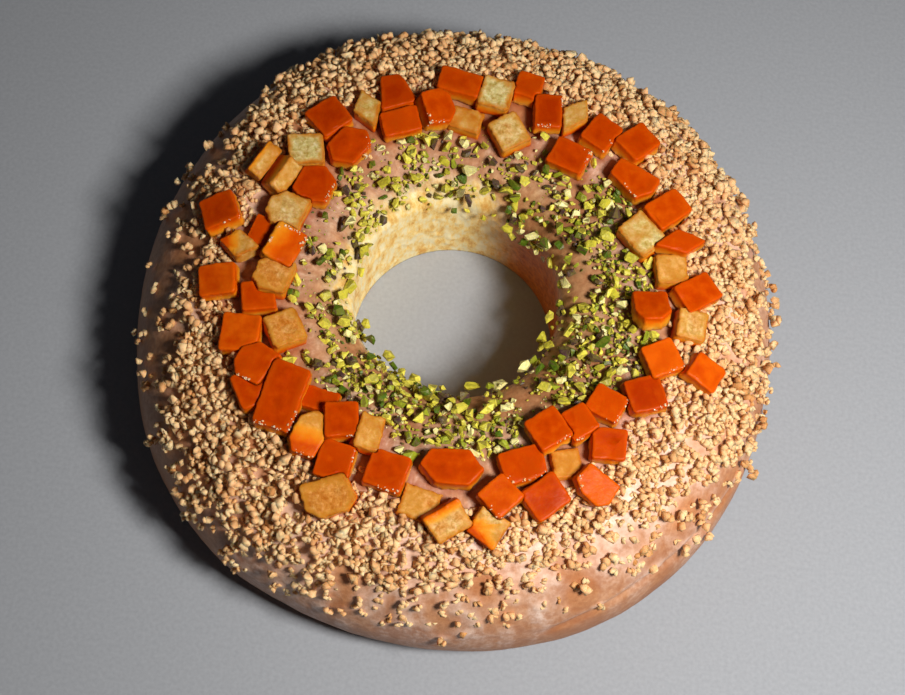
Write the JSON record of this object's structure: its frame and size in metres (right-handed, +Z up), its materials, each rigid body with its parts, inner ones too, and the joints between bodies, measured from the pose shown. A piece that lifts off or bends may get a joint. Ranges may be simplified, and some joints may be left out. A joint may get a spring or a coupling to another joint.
{
  "type": "roscon de reyes",
  "caption": "Baked sweet-dough ring with a round hole, its glazed crown set with diced candied orange peel, roasted chopped nuts and pistachio bits.",
  "frame": {"origin": "middle of the flat base, on the surface the ring stands on", "axes": "+Z up through the hole; +X to the right and -Y to the front as the ring is seen from the front"},
  "size_m": [0.2524, 0.2524, 0.0742],
  "materials": {
    "crust": "browned egg-washed crust, satin, under a thin sugar glaze",
    "candied_zest": "syrup-soaked orange zest, glossy and slightly translucent",
    "candied_pith": "syrup-soaked pith, satin and slightly translucent",
    "chopped_nut": "roasted and chopped, dry and matt",
    "chopped_pistachio": "raw and chopped, dry and matt"
  },
  "bodies": {
    "root": {"peel_01_pith": "candied_pith", "peel_02_zest": "candied_zest", "peel_03_zest": "candied_zest", "peel_04_pith": "candied_pith", "peel_05_zest": "candied_zest", "peel_06_pith": "candied_pith", "peel_07_zest": "candied_zest", "peel_08_zest": "candied_zest", "peel_09_zest": "candied_zest", "peel_10_zest": "candied_zest", "peel_11_zest": "candied_zest", "peel_12_pith": "candied_pith", "peel_13_zest": "candied_zest", "peel_14_zest": "candied_zest", "peel_15_pith": "candied_pith", "peel_16_pith": "candied_pith", "peel_17_zest": "candied_zest", "peel_18_zest": "candied_zest", "peel_19_zest": "candied_zest", "peel_20_zest": "candied_zest", "peel_21_pith": "candied_pith", "peel_22_zest": "candied_zest", "peel_23_zest": "candied_zest", "peel_24_pith": "candied_pith", "peel_25_zest": "candied_zest", "peel_26_zest": "candied_zest", "peel_27_zest": "candied_zest", "peel_28_pith": "candied_pith", "peel_29_zest": "candied_zest", "peel_30_zest": "candied_zest", "peel_31_pith": "candied_pith", "peel_32_zest": "candied_zest", "peel_33_pith": "candied_pith", "peel_34_zest": "candied_zest", "peel_35_zest": "candied_zest", "peel_36_pith": "candied_pith", "peel_37_zest": "candied_zest", "peel_38_zest": "candied_zest", "peel_39_zest": "candied_zest", "peel_40_zest": "candied_zest", "peel_41_zest": "candied_zest", "peel_42_pith": "candied_pith", "peel_43_zest": "candied_zest", "peel_44_pith": "candied_pith", "peel_45_zest": "candied_zest", "peel_46_pith": "candied_pith", "peel_47_zest": "candied_zest", "peel_48_pith": "candied_pith", "peel_49_zest": "candied_zest", "peel_50_zest": "candied_zest", "peel_51_zest": "candied_zest", "peel_52_zest": "candied_zest", "peel_53_zest": "candied_zest", "peel_54_zest": "candied_zest", "peel_55_zest": "candied_zest", "peel_56_zest": "candied_zest", "peel_57_zest": "candied_zest", "peel_58_zest": "candied_zest", "peel_59_zest": "candied_zest", "ring": "crust"}
  },
  "joints": []
}
